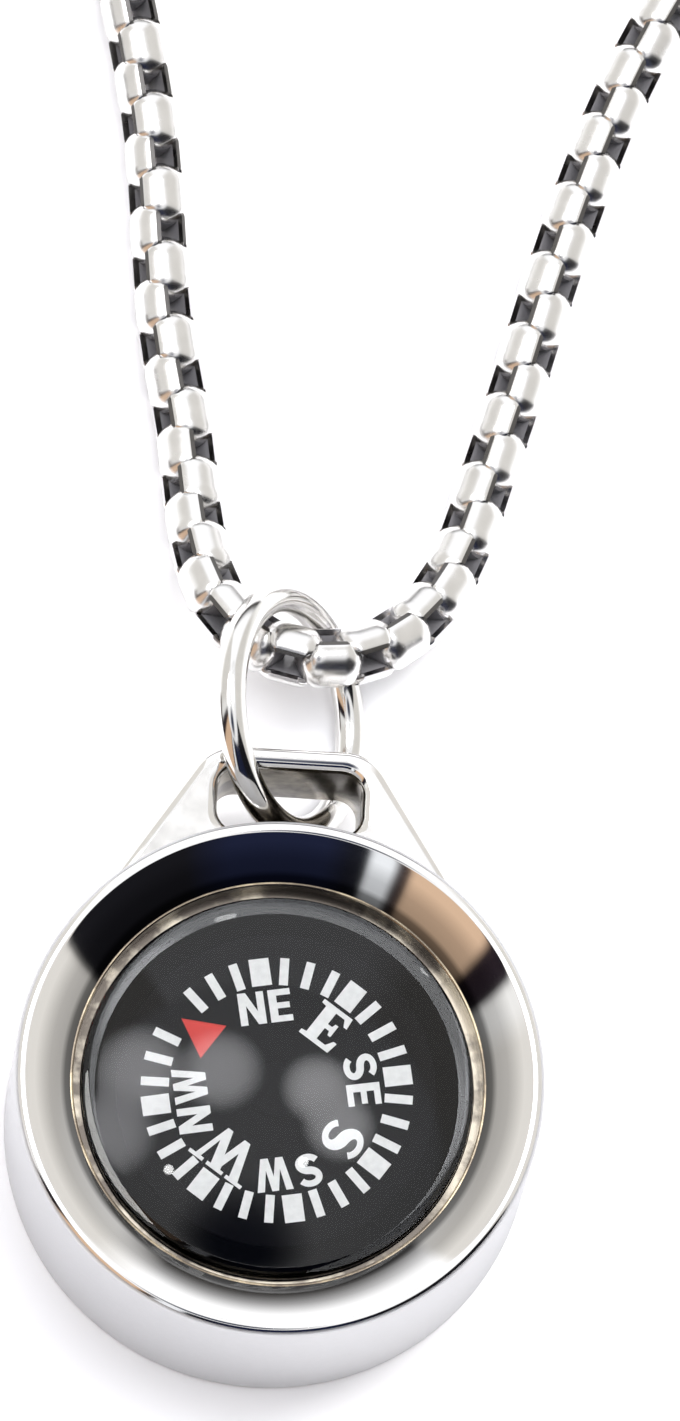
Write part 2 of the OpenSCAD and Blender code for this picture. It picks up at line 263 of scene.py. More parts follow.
def bump(tree, height, shader, strength, distance):
    node = tree.nodes.new("ShaderNodeBump")
    node.inputs["Strength"].default_value = strength
    node.inputs["Distance"].default_value = distance
    tree.links.new(height, node.inputs["Height"])
    tree.links.new(node.outputs["Normal"], shader.inputs["Normal"])


def metal(name, colour, low_rough, high_rough, grain, relief):
    """Steel whose roughness and surface vary a little, as polishing leaves them."""
    mat, tree, shader = new_material(name)
    vector = coords(tree)
    shader.inputs["Metallic"].default_value = 1.0
    wear_and_glints = noise(tree, vector, grain, 4.0, 0.6)
    tree.links.new(varied(tree, wear_and_glints, *tints(colour, METAL_TINTS)), shader.inputs["Base Color"])
    tree.links.new(varied(tree, wear_and_glints, (low_rough,) * 3, (high_rough,) * 3), shader.inputs["Roughness"])
    bump(tree, noise(tree, vector, grain * 3.0, 3.0), shader, 0.2, relief)
    return mat


def plastic(name, colour, rough, shine, grain):
    """Moulded plastic or print, its colour and gloss a little uneven."""
    mat, tree, shader = new_material(name)
    grainy = noise(tree, coords(tree), grain)
    tree.links.new(varied(tree, grainy, *tints(colour, PLASTIC_TINTS)), shader.inputs["Base Color"])
    tree.links.new(varied(tree, grainy, (rough,) * 3, (rough * 1.1,) * 3), shader.inputs["Roughness"])
    shader.inputs["Specular IOR Level"].default_value = shine
    return mat


def clear(name):
    """Clear dome filled with liquid, its tint a little uneven."""
    mat, tree, shader = new_material(name)
    shader.inputs["Transmission Weight"].default_value = 1.0
    shader.inputs["IOR"].default_value = CLEAR_IOR
    shader.inputs["Specular IOR Level"].default_value = CLEAR_SHINE
    shader.inputs["Roughness"].default_value = 0.0
    cloud = noise(tree, coords(tree), 300.0, 2.0)
    tree.links.new(varied(tree, cloud, (0.96, 0.975, 0.98), (0.98, 0.99, 0.995)), shader.inputs["Base Color"])
    return mat


def radius_share(tree, low, high):
    """How far from the object's z axis a place lies: 0 at the low radius and 1 at the high one."""
    flat = tree.nodes.new("ShaderNodeVectorMath")
    flat.operation = "MULTIPLY"
    flat.inputs[1].default_value = (1.0, 1.0, 0.0)
    tree.links.new(coords(tree), flat.inputs[0])
    away = tree.nodes.new("ShaderNodeVectorMath")
    away.operation = "LENGTH"
    tree.links.new(flat.outputs["Vector"], away.inputs[0])
    share = tree.nodes.new("ShaderNodeMapRange")
    share.inputs["From Min"].default_value = low
    share.inputs["From Max"].default_value = high
    tree.links.new(away.outputs["Value"], share.inputs["Value"])
    return share.outputs["Result"]


def painted_shade_metal(name, colour, rough, low, high, shade):
    """Polished steel of a turned bezel with painted shade in its colour, darker towards the corner that it
    mirrors at its foot.
    """
    mat, tree, shader = new_material(name)
    shader.inputs["Metallic"].default_value = 1.0
    shader.inputs["Roughness"].default_value = rough
    stops = zip([at for at, _ in shade], tints(colour, [share for _, share in shade]))
    tree.links.new(ramp(tree, radius_share(tree, low, high), list(stops)), shader.inputs["Base Color"])
    return mat


def shade_and_glint_metal(name, dark, bright, rough, grain):
    """Turned metal in a corner with painted shade: dark, with painted glints as brighter spots."""
    mat, tree, shader = new_material(name)
    shader.inputs["Metallic"].default_value = 1.0
    shader.inputs["Roughness"].default_value = rough
    wear_and_glints = noise(tree, coords(tree), grain, 4.0, 0.6)
    tree.links.new(ramp(tree, wear_and_glints, [(GLINT_NOISE[0], dark), (GLINT_NOISE[1], bright)]), shader.inputs["Base Color"])
    return mat


# Mesh helpers
def add_mesh(name, bm, mats, smooth_angle=SMOOTH):
    """Puts a finished mesh in the scene; edges sharper than the angle stay crisp."""
    bmesh.ops.remove_doubles(bm, verts=bm.verts, dist=MERGE)
    bmesh.ops.recalc_face_normals(bm, faces=bm.faces)
    mesh = bpy.data.meshes.new(name)
    bm.to_mesh(mesh)
    bm.free()
    for mat in mats:
        mesh.materials.append(mat)
    mesh.shade_smooth()
    mesh.set_sharp_from_angle(angle=math.radians(smooth_angle))
    obj = bpy.data.objects.new(name, mesh)
    bpy.context.scene.collection.objects.link(obj)
    return obj


def on_circle(cx, cy, r, degrees):
    return (cx + r * math.cos(math.radians(degrees)), cy + r * math.sin(math.radians(degrees)))


def arc(cx, cy, r, a0, a1, steps):
    return [on_circle(cx, cy, r, a0 + (a1 - a0) * s / steps) for s in range(steps + 1)]


def bow(p0, p1, depth, steps):
    """Points from p0 to p1, bowed to the right of that way by the given depth."""
    dx, dz = p1[0] - p0[0], p1[1] - p0[1]
    length = math.hypot(dx, dz)
    side = (dz / length, -dx / length)
    return [(p0[0] + dx * t + side[0] * depth * 4 * t * (1 - t),
             p0[1] + dz * t + side[1] * depth * 4 * t * (1 - t))
            for t in (s / steps for s in range(steps + 1))]


def revolve(bm, profile, steps):
    """Turns a closed profile of (r, z) points about the z axis."""
    rings = []
    for r, z in profile:
        if r < ON_AXIS:
            rings.append([bm.verts.new((0, 0, z))] * steps)
        else:
            turns = [TAU * s / steps for s in range(steps)]
            rings.append([bm.verts.new((r * math.cos(turn), r * math.sin(turn), z)) for turn in turns])
    for a, b in zip(rings, rings[1:] + rings[:1]):
        for s in range(steps):
            t = (s + 1) % steps
            corners = []
            for v in (a[s], a[t], b[t], b[s]):
                if v not in corners:
                    corners.append(v)
            if len(corners) > 2:
                bm.faces.new(corners)


def outline_solid(name, outlines, thickness, edge_r, mats):
    """A plate with round edges from 2D outlines, the first its outside and the rest its holes."""
    curve = bpy.data.curves.new(name, "CURVE")
    curve.dimensions = "2D"
    curve.fill_mode = "BOTH"
    curve.extrude = thickness / 2 - edge_r
    curve.bevel_depth = edge_r
    curve.bevel_resolution = LUG_EDGE_STEPS
    curve.offset = -edge_r
    for points in outlines:
        spline = curve.splines.new("POLY")
        spline.points.add(len(points) - 1)
        for point, (x, y) in zip(spline.points, points):
            point.co = (x, y, 0, 1)
        spline.use_cyclic_u = True
    source = bpy.data.objects.new(name, curve)
    bpy.context.scene.collection.objects.link(source)
    depsgraph = bpy.context.evaluated_depsgraph_get()
    bm = bmesh.new()
    bm.from_mesh(source.evaluated_get(depsgraph).to_mesh())
    bpy.data.objects.remove(source)
    return add_mesh(name, bm, mats)


def round_rect(w, h, r, steps, cx=0.0, cy=0.0):
    points = []
    for q, (sx, sy) in enumerate(((1, 1), (-1, 1), (-1, -1), (1, -1))):
        points += arc(cx + sx * (w / 2 - r), cy + sy * (h / 2 - r), r, 90 * q, 90 * q + 90, steps)
    return points


# Case
def case_profile():
    crest_r = CREST_W / 2
    crest_x, crest_z = BEZEL_R + crest_r, CASE_H - crest_r
    crest = arc(crest_x, crest_z, crest_r, 0, 90 + CREST_TURN, CREST_STEPS)
    rim = (LEDGE_R + STEP_RIM_W, STEP_Z)
    return ([(0, 0)]
            + arc(CASE_R - BACK_R, BACK_R, BACK_R, -90, 0, BACK_STEPS)
            + crest
            + bow(crest[-1], rim, BEZEL_BULGE, CREST_STEPS)[1:]
            + bow(rim, (LEDGE_R, STEP_Z - STEP_RIM_DROP), STEP_RIM_BULGE, RIM_STEPS)[1:]
            + [(LEDGE_R, LEDGE_Z), (RECESS_R, LEDGE_Z), (RECESS_R, CASE_FLOOR), (0, CASE_FLOOR)])


def lug_outline():
    """Outside of the lug: straight shoulders that touch the case and both round corners, and its root."""
    corner_y = LUG_TOP - LUG_CORNER_R
    away = math.hypot(LUG_CORNER_X, corner_y)
    lean = math.acos((SHOULDER_R - LUG_CORNER_R) / away)
    slope = math.degrees(math.atan2(corner_y, LUG_CORNER_X) - lean)
    right = [on_circle(0, 0, SHOULDER_R, slope)]
    right += arc(LUG_CORNER_X, corner_y, LUG_CORNER_R, slope, 90, LUG_CORNER_STEPS)
    left = [(-x, y) for x, y in reversed(right)]
    root = arc(0, 0, LUG_ROOT_R, 180 - slope, slope, LUG_ROOT_STEPS)
    return right + left + root


def case_finish(face):
    """Finish of a face of the case's body, by where it lies."""
    middle = face.calc_center_median()
    r = math.hypot(middle.x, middle.y)
    if r > SATIN_R and BACK_R / 2 < middle.z:
        return SATIN
    # The step's rim and the recess get colours with painted shade and painted glints
    if r < LEDGE_R and CASE_FLOOR / 2 < middle.z:
        return RIM if middle.z > STEP_Z - STEP_RIM_DROP else RECESS
    if r < LEDGE_R + STEP_RIM_W and CASE_FLOOR / 2 < middle.z:
        return RIM
    if r < BEZEL_END_R and LEDGE_Z < middle.z:
        return BEZEL
    return POLISHED


def lug_finish(face, slot_y):
    """Finish of a face of the lug: its level top and the walls of its slot, both with painted shade, or the
    rest.
    """
    inside = (abs(face.center.x) < SLOT_W / 2 + SLOT_REACH
              and abs(face.center.y - slot_y) < SLOT_H / 2 + SLOT_REACH)
    if inside and abs(face.normal.z) < UPRIGHT:
        return RECESS
    return SHADED_LUG_TOP if face.normal.z > LEVEL else POLISHED


def crisp_border(obj, index):
    """Ends the smooth shading of the neighbours at the faces with this material."""
    sides = {}
    for face in obj.data.polygons:
        for key in face.edge_keys if face.material_index == index else ():
            sides[key] = sides.get(key, 0) + 1
    for edge in obj.data.edges:
        if sides.get(edge.key) == 1:
            edge.use_edge_sharp = True


def make_case(mats):
    bm = bmesh.new()
    revolve(bm, case_profile(), CASE_STEPS)
    for face in bm.faces:
        face.material_index = case_finish(face)
    body = add_mesh("case_body", bm, mats)
    slot_y = LUG_TOP - BAR_T - SLOT_H / 2
    slot = round_rect(SLOT_W, SLOT_H, SLOT_R, SLOT_STEPS, 0, slot_y)
    lug = outline_solid("case_lug", [lug_outline(), slot], LUG_T, LUG_EDGE_R, mats)
    for face in lug.data.polygons:
        face.material_index = lug_finish(face, slot_y)
    crisp_border(lug, SHADED_LUG_TOP)
    lug.location.z = LUG_Z
    for obj in (body, lug):
        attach(obj, "pendant")
        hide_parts("case")


# Capsule
def dome_profile(low):
    """The dome's outer line from its edge to its top, then down to low inside the cup."""
    shoulder_x, shoulder_z = CAPSULE_R - DOME_SHOULDER, LEDGE_Z + DOME_EDGE
    rise = dome_hi.z - shoulder_z
    crown_r = (shoulder_x ** 2 + rise ** 2 - DOME_SHOULDER ** 2) / (2 * (rise - DOME_SHOULDER))
    crown_z = dome_hi.z - crown_r
    turn = math.degrees(math.atan2(shoulder_z - crown_z, shoulder_x))
    liquid_r = CAPSULE_R - CUP_WALL + LIQUID_SINK
    return ([(0, low), (liquid_r, low), (liquid_r, dome_lo.z), (CAPSULE_R, dome_lo.z)]
            + arc(shoulder_x, shoulder_z, DOME_SHOULDER, 0, turn, SHOULDER_STEPS)
            + arc(0, crown_z, crown_r, turn, 90, CROWN_STEPS)[1:-1]
            + [(0, dome_hi.z)])


def make_cup(mat):
    floor_z = cup_lo.z + CUP_FLOOR
    inner_r = CAPSULE_R - CUP_WALL
    bm = bmesh.new()
    revolve(bm, [(0, cup_lo.z), (CAPSULE_R, cup_lo.z), (CAPSULE_R, cup_hi.z), (inner_r, cup_hi.z),
                 (inner_r, floor_z), (0, floor_z)], CAPSULE_STEPS)
    cup = add_mesh("capsule_cup", bm, [mat])
    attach(cup, "pendant")
    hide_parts("compass_cup")


def make_dome(mat):
    bm = bmesh.new()
    revolve(bm, dome_profile(cup_lo.z + CUP_FLOOR - LIQUID_SINK), DOME_STEPS)
    dome = add_mesh("capsule_dome", bm, [mat])
    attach(dome, "pendant")
    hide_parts("compass_dome")


# Card and its print
def make_card(mat):
    low, soft = card_lo.z + HUB_H, CARD_EDGE_R
    bm = bmesh.new()
    revolve(bm, [(0, low), (CARD_R - soft, low), (CARD_R, low + soft),
                 (CARD_R, CARD_TOP - soft), (CARD_R - soft, CARD_TOP), (CAP_R + soft, CARD_TOP),
                 (CAP_R, CARD_TOP + soft), (CAP_R, card_hi.z - soft), (CAP_R - soft, card_hi.z),
                 (0, card_hi.z)], CAPSULE_STEPS)
    card = add_mesh("card", bm, [mat])
    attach(card, "card")
    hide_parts("compass_card")


def print_shape(bm, points):
    """A thin layer of print with the given outline, a little sunk into the card."""
    low = [bm.verts.new((x, y, CARD_TOP - PRINT_T / 2)) for x, y in points]
    high = [bm.verts.new((x, y, CARD_TOP + PRINT_T)) for x, y in points]
    bm.faces.new(low[::-1])
    bm.faces.new(high)
    for i in range(len(points)):
        j = (i + 1) % len(points)
        bm.faces.new((low[i], low[j], high[j], high[i]))


def turned(points, clockwise):
    """The points turned about the dial's middle, in degrees."""
    a = math.radians(-clockwise)
    return [(x * math.cos(a) - y * math.sin(a), x * math.sin(a) + y * math.cos(a)) for x, y in points]


def add_print(name, bm, mat):
    obj = add_mesh(name, bm, [mat])
    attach(obj, "card")


def make_marks(mat):
    """Ticks and blocks round the dial, with none at north."""
    bm = bmesh.new()
    for k in range(1, MARKS):
        half = (TICK_W if k % BLOCK_EVERY else BLOCK_W) / 2
        box = [(-half, TICK_OUT - TICK_LEN), (half, TICK_OUT - TICK_LEN), (half, TICK_OUT), (-half, TICK_OUT)]
        print_shape(bm, turned(box, NORTH + k * 360 / MARKS))
    add_print("card_marks", bm, mat)


def make_north_mark(mat):
    bm = bmesh.new()
    mark = [(-NORTH_W / 2, NORTH_FOOT), (NORTH_W / 2, NORTH_FOOT), (0, NORTH_TIP)]
    print_shape(bm, turned(mark, NORTH))
    add_print("card_north_mark", bm, mat)


# Outlines of plain letters of height 1
LETTERS = {
    "N": [(0, 0), (0.22, 0), (0.22, 0.6), (0.53, 0), (0.77, 0), (0.77, 1),
          (0.55, 1), (0.55, 0.4), (0.24, 1), (0, 1)],
    "E": [(0, 0), (0.66, 0), (0.66, 0.19), (0.24, 0.19), (0.24, 0.41), (0.61, 0.41),
          (0.61, 0.59), (0.24, 0.59), (0.24, 0.81), (0.66, 0.81), (0.66, 1), (0, 1)],
    "W": [(0, 1), (0.22, 1), (0.33, 0.36), (0.44, 1), (0.64, 1), (0.75, 0.36), (0.86, 1), (1.08, 1),
          (0.87, 0), (0.65, 0), (0.54, 0.56), (0.43, 0), (0.21, 0)]
}
# The same with serifs, for the main directions
SERIF_LETTERS = {
    "E": [(0, 0), (0.82, 0), (0.87, 0.3), (0.78, 0.3), (0.67, 0.12), (0.42, 0.12), (0.42, 0.44),
          (0.54, 0.44), (0.57, 0.34), (0.65, 0.34), (0.65, 0.66), (0.57, 0.66), (0.54, 0.56),
          (0.42, 0.56), (0.42, 0.88), (0.66, 0.88), (0.75, 0.72), (0.84, 0.72), (0.81, 1), (0, 1),
          (0, 0.9), (0.13, 0.88), (0.13, 0.12), (0, 0.1)],
    "W": [(-0.08, 1), (0.38, 1), (0.38, 0.91), (0.3, 0.91), (0.45, 0.34), (0.58, 0.82),
          (0.56, 0.91), (0.46, 0.91), (0.46, 1), (0.92, 1), (0.92, 0.91), (0.83, 0.91),
          (0.98, 0.34), (1.12, 0.91), (1.02, 0.91), (1.02, 1), (1.42, 1), (1.42, 0.91),
          (1.26, 0.91), (1.0, 0), (0.86, 0), (0.69, 0.56), (0.53, 0), (0.37, 0), (0.06, 0.91),
          (-0.08, 0.91)]
}


def letter_s(thick, thin):
    """Outline of an S of height 1: a band along two bows, thick in its middle and thin at its ends."""
    tall = 0.25 - thin / 4
    middle = []
    for bow_y, angles in ((1 - thin / 2 - tall, S_UPPER), (thin / 2 + tall, S_LOWER)):
        for a in angles:
            x, y = on_circle(0, 0, 1, a)
            middle.append((S_WIDE + thin / 2 + S_WIDE * x, bow_y + tall * y))
    left, right = [], []
    for i, (x, y) in enumerate(middle):
        x0, y0 = middle[max(i - 1, 0)]
        x1, y1 = middle[min(i + 1, len(middle) - 1)]
        length = math.hypot(x1 - x0, y1 - y0)
        nx, ny = -(y1 - y0) / length, (x1 - x0) / length
        spine = max(0.0, 1 - abs(y - 0.5) / S_SPINE)
        half = (thin + (thick - thin) * spine) / 2
        left.append((x + nx * half, y + ny * half))
        right.append((x - nx * half, y - ny * half))
    return left + right[::-1]


def word_shapes(word):
    """Outlines of a word of height 1, centred, in plain letters or, where it is one letter, with serifs."""
    alone = len(word) == 1
    shapes, x = [], 0.0
    for letter in word:
        if letter == "S":
            shape = letter_s(*(MAIN_S if alone else SIDE_S))
        else:
            shape = (SERIF_LETTERS if alone else LETTERS)[letter]
        left = min(p[0] for p in shape)
        shapes.append([(p[0] - left + x, p[1]) for p in shape])
        x = max(p[0] for p in shapes[-1]) + LETTER_GAP
    wide = x - LETTER_GAP
    return [[(px - wide / 2, py - 0.5) for px, py in shape] for shape in shapes]


def make_letters(mat):
    """Direction letters round the dial, their tops outwards."""
    bm = bmesh.new()
    for k, word in enumerate(WORDS, 1):
        tall, place = MAIN_LETTER if len(word) == 1 else SIDE_LETTER
        for shape in word_shapes(word):
            points = [(x * tall, place + y * tall) for x, y in shape]
            print_shape(bm, turned(points, NORTH + WORD_TURN * k))
    add_print("card_letters", bm, mat)


# Jump ring
def make_jump_ring(mat):
    ring_r = (ring_hi.y - ring_lo.y - RING_WIRE) / 2
    middle = (ring_lo + ring_hi) / 2
    last = WIRE_SIDES - 1
    bm = bmesh.new()
    revolve(bm, arc(ring_r, 0, RING_WIRE / 2, 0, 360 * last / WIRE_SIDES, last), RING_STEPS)
    bm.transform(Matrix.Translation(middle) @ Matrix.Rotation(math.radians(RING_TILT), 4, "Y"))
    ring = add_mesh("ring", bm, [mat])
    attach(ring, "pendant")
    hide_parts("jump_ring")


# Chain
def link_corners():
    """Each solid link of the frame's chain: the places of its corners."""
    bm = bmesh.new()
    bm.from_mesh(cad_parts["chain"].data)
    bmesh.ops.remove_doubles(bm, verts=bm.verts, dist=CHAIN_MERGE)
    seen, parts = set(), []
    for start in bm.verts:
        if start in seen:
            continue
        part, todo = [], [start]
        seen.add(start)
        while todo:
            v = todo.pop()
            part.append(v)
            for e in v.link_edges:
                other = e.other_vert(v)
                if other not in seen:
                    seen.add(other)
                    todo.append(other)
        parts.append(part)
    links = [[v.co.copy() for v in part] for part in parts]
    bm.free()
    return links


def extent(points, way):
    """How far the points reach along the way."""
    spread = [p.dot(way) for p in points]
    return max(spread) - min(spread)


def link_frames():
    """Each link's middle, its way along the chain, and the way of its hole, in which it is narrowest."""
    links = link_corners()
    middles = [sum(points, Vector()) / len(points) for points in links]
    frames = []
    for points, middle in zip(links, middles):
        others = (p for p in middles if p is not middle)
        near, next_near = sorted(others, key=lambda p: (p - middle).length)[:2]
        # The last link at each end has one neighbour only
        at_end = (next_near - middle).length > NEIGHBOUR
        way = (near - middle if at_end else next_near - near).normalized()
        across = way.orthogonal().normalized()
        turns = [Quaternion(way, math.radians(a)) @ across for a in range(0, 180, HOLE_TURN)]
        frames.append((middle, way, min(turns, key=lambda turn: extent(points, turn))))
    return frames


def link_path():
    """Middle line of a link's outside about its middle, x along the chain, with its outward way."""
    half_l, half_w = LINK_LEN / 2, LINK_W / 2
    quarter = [(PAD_ROW * half_l, half_w, 0.0, 1.0)]
    for s in range(LINK_BEND_STEPS + 1):
        nx, ny = on_circle(0, 0, 1, 90 - 90 * s / LINK_BEND_STEPS)
        x = half_l - LINK_BEND_R + LINK_BEND_R * nx
        y = half_w - LINK_BEND_R + LINK_BEND_R * ny
        quarter.append((x, y, nx, ny))
    mirrored = [(x, -y, nx, -ny) for x, y, nx, ny in reversed(quarter)]
    right = quarter + mirrored
    return right + [(-x, y, -nx, ny) for x, y, nx, ny in reversed(right)]


def strip_section(out_y):
    """Section of the strip where its outward way has this y: how deep and how far across each point lies."""
    pad = min(1.0, abs(out_y) * BEND_WIDEN)
    half = STRIP_W / 2 * (BAR_SHARE + (1 - BAR_SHARE) * pad ** 2)
    thick = END_T + (PAD_T - END_T) * pad
    section = []
    for share, deep in STRIP_EDGE:
        u = half * share
        section.append((CHAIN_R - math.sqrt(CHAIN_R ** 2 - u * u) + deep * MM, u))
    low = max(thick, section[-1][0] + EDGE_T)
    return section + [(low, half * INSIDE_SHARE), (low, -half * INSIDE_SHARE)]


def link_finish(i, is_bar, height):
    """Finish of a link's face: i counts across the strip, and the height is above the link's middle. The
    bars, the inside and the strip's sides and edges get painted shade, darker on the sides and upper edges
    than on the lower edges.
    """
    last = len(STRIP_EDGE) - 1
    if is_bar or i == last + 1:
        return INSIDE
    if i > last:
        return CORNER
    if 0 < i < last - 1:
        return PAD
    return CORNER if height > CHAIN_R / 2 else EDGE


def make_chain(mats):
    rows = link_path()
    sections = [strip_section(ny) for _, _, _, ny in rows]
    bm = bmesh.new()
    for middle, way, hole in link_frames():
        way = (way - hole * way.dot(hole)).normalized()
        side = hole.cross(way)
        place = Matrix((
            (way.x, side.x, hole.x, middle.x),
            (way.y, side.y, hole.y, middle.y),
            (way.z, side.z, hole.z, middle.z),
            (0, 0, 0, 1)))
        loops = []
        for (x, y, nx, ny), section in zip(rows, sections):
            corners = [Vector((x - nx * deep, y - ny * deep, u)) for deep, u in section]
            loops.append([bm.verts.new(place @ corner) for corner in corners])
        for k, (a, b) in enumerate(zip(loops, loops[1:] + loops[:1])):
            is_bar = abs(rows[k][3]) + abs(rows[(k + 1) % len(rows)][3]) < BAR_LEAN
            for i in range(len(a)):
                j = (i + 1) % len(a)
                face = bm.faces.new((a[i], a[j], b[j], b[i]))
                face.material_index = link_finish(i, is_bar, face.calc_center_median().z - middle.z)
    chain = add_mesh("chain_links", bm, mats, LINK_SMOOTH)
    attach(chain, "pendant")
    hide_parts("chain")


# The CAD pieces that stay as they are
def finish_small_pieces(mat):
    for node in ("clasp", "clasp_ring", "chain_end_ring"):
        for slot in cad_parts[node].material_slots:
            slot.material = mat


# Light, floor and camera
FLOOR_SIZE = 6.0


def make_stage():
    mat, tree, shader = new_material("floor_white")
    cloud = noise(tree, coords(tree), 20.0, 2.0)
    tree.links.new(varied(tree, cloud, (0.93, 0.93, 0.95), (0.95, 0.95, 0.97)), shader.inputs["Base Color"])
    shader.inputs["Roughness"].default_value = 0.9
    shader.inputs["Specular IOR Level"].default_value = 0.2
    bpy.ops.mesh.primitive_plane_add(size=FLOOR_SIZE, location=(0, 0, 0))
    floor = bpy.context.object
    floor.name = "floor"
    floor.data.materials.append(mat)


def direction(azimuth, elevation):
    """Way to a place in the room: azimuth clockwise from +Y seen from above, in degrees."""
    a, e = math.radians(azimuth), math.radians(elevation)
    return Vector((math.sin(a) * math.cos(e), math.cos(a) * math.cos(e), math.sin(e)))


# What stands round the object: the azimuth where each thing starts, the width over which it
# blends in, both in degrees, its colour up to WALL_TOP, and its colour below WALL_FOOT
ROOM_WALLS = [
    # White far side with a dark foot, and a grey wall on the right
    (0, 0, (1.35, 1.36, 1.40), (0.05, 0.045, 0.04)),
    (30, 12, (0.85, 0.83, 0.80), (1.30, 1.30, 1.30)),
    # Dark clothes in front, with navy in their middle
    (102, 2, (0.010, 0.010, 0.013), (0.010, 0.010, 0.013)),
    (150, 14, (0.014, 0.018, 0.046), (0.014, 0.018, 0.046)),
    (192, 8, (0.010, 0.011, 0.018), (0.010, 0.011, 0.018)),
    # White strip, dark post, warm patch, dark post, white strip with a dark foot
    (202, 2, (1.00, 1.04, 1.10), (1.00, 1.04, 1.10)),
    (211, 3, (0.05, 0.035, 0.035), (0.05, 0.035, 0.035)),
    (216, 2, (0.80, 0.56, 0.39), (0.80, 0.56, 0.39)),
    (247, 3, (0.02, 0.014, 0.02), (0.02, 0.014, 0.02)),
    (259, 3, (1.00, 1.00, 1.00), (0.06, 0.04, 0.03)),
    # Grey wall on the left, and the white far side again
    (270, 8, (0.85, 0.83, 0.80), (0.06, 0.04, 0.03)),
    (277, 4, (0.85, 0.83, 0.80), (1.30, 1.30, 1.30)),
    (329, 3, (1.35, 1.36, 1.40), (0.05, 0.045, 0.04))
]
UPPER, LOWER = 2, 3
# Elevations where the upper colours start and where the walls end, and how far below each the
# change begins, in degrees
WALL_FOOT = 19.0
FOOT_FADE = 16.0
WALL_TOP = 60.0
TOP_FADE = 3.0

# Soft zones overhead: azimuth, elevation, inner and outer radius in degrees, colour
ROOM_ZONES = [
    # Camera
    (190, 74, 3, 14, (0.05, 0.06, 0.10)),
    # Light panels overhead, mirrored as streaks in the dome
    (306, 64, 0, 9, (6.0, 6.0, 6.2)),
    (280, 64, 0, 9, (5.0, 5.0, 5.2)),
    (335, 73, 0, 8, (6.0, 6.0, 6.2)),
    (36, 74, 0, 7, (7.0, 7.0, 7.2)),
    (62, 75, 0, 7, (6.5, 6.5, 6.7)),
    # Two small lamps
    (262, 74.5, 0.6, 1.0, (24.0, 24.0, 24.0)),
    (89, 82.5, 0.6, 1.0, (24.0, 24.0, 24.0)),
]
# The room's own light by height: sine of the elevation and colour
ROOM_HEIGHTS = [
    (-1.0, (1.0, 1.0, 1.0)),
    (0.8, (0.98, 0.99, 1.02)),
    (0.96, (1.20, 1.21, 1.24)),
    (1.0, (1.22, 1.23, 1.26)),
]


def wall_stops(column):
    """Stops by azimuth of one column of the walls' colours, each wall keeping its own up to the next."""
    stops = [(0.0, ROOM_WALLS[0][column])]
    for before, wall in zip(ROOM_WALLS, ROOM_WALLS[1:]):
        azimuth, width = wall[:2]
        stops.append(((azimuth - width / 2) / 360, before[column]))
        stops.append(((azimuth + width / 2) / 360, wall[column]))
    return stops


def mask_above(tree, split, elevation, fade):
    """1 above the elevation and 0 from the fade below it, both in degrees."""
    return mask_from(tree, split.outputs["Z"], math.sin(math.radians(elevation - fade)),
                     math.sin(math.radians(elevation)))


def mask_from(tree, value, low, high):
    """0 below the low value, 1 above the high one, soft between them."""
    mask = tree.nodes.new("ShaderNodeMapRange")
    mask.interpolation_type = "SMOOTHSTEP"
    mask.inputs["From Min"].default_value = low
    mask.inputs["From Max"].default_value = high
    tree.links.new(value, mask.inputs["Value"])
    return mask.outputs["Result"]


def blend(tree, mask, under, over):
    """The colour under where the mask is 0 and over where it is 1; over is a socket or a plain colour."""
    mix = tree.nodes.new("ShaderNodeMix")
    mix.data_type = "RGBA"
    tree.links.new(mask, mix.inputs["Factor"])
    tree.links.new(under, mix.inputs["A"])
    if isinstance(over, tuple):
        mix.inputs["B"].default_value = (*over, 1.0)
    else:
        tree.links.new(over, mix.inputs["B"])
    return mix.outputs["Result"]


def azimuth_share(tree, split):
    """Azimuth as a share of a full turn, clockwise from +Y."""
    back = []
    for axis in ("X", "Y"):
        turn = tree.nodes.new("ShaderNodeMath")
        turn.operation = "MULTIPLY"
        turn.inputs[1].default_value = -1.0
        tree.links.new(split.outputs[axis], turn.inputs[0])
        back.append(turn.outputs[0])
    angle = tree.nodes.new("ShaderNodeMath")
    angle.operation = "ARCTAN2"
    tree.links.new(back[0], angle.inputs[0])
    tree.links.new(back[1], angle.inputs[1])
    share = tree.nodes.new("ShaderNodeMath")
    share.operation = "MULTIPLY_ADD"
    share.inputs[1].default_value = 1 / TAU
    share.inputs[2].default_value = 0.5
    tree.links.new(angle.outputs[0], share.inputs[0])
    return share.outputs[0]


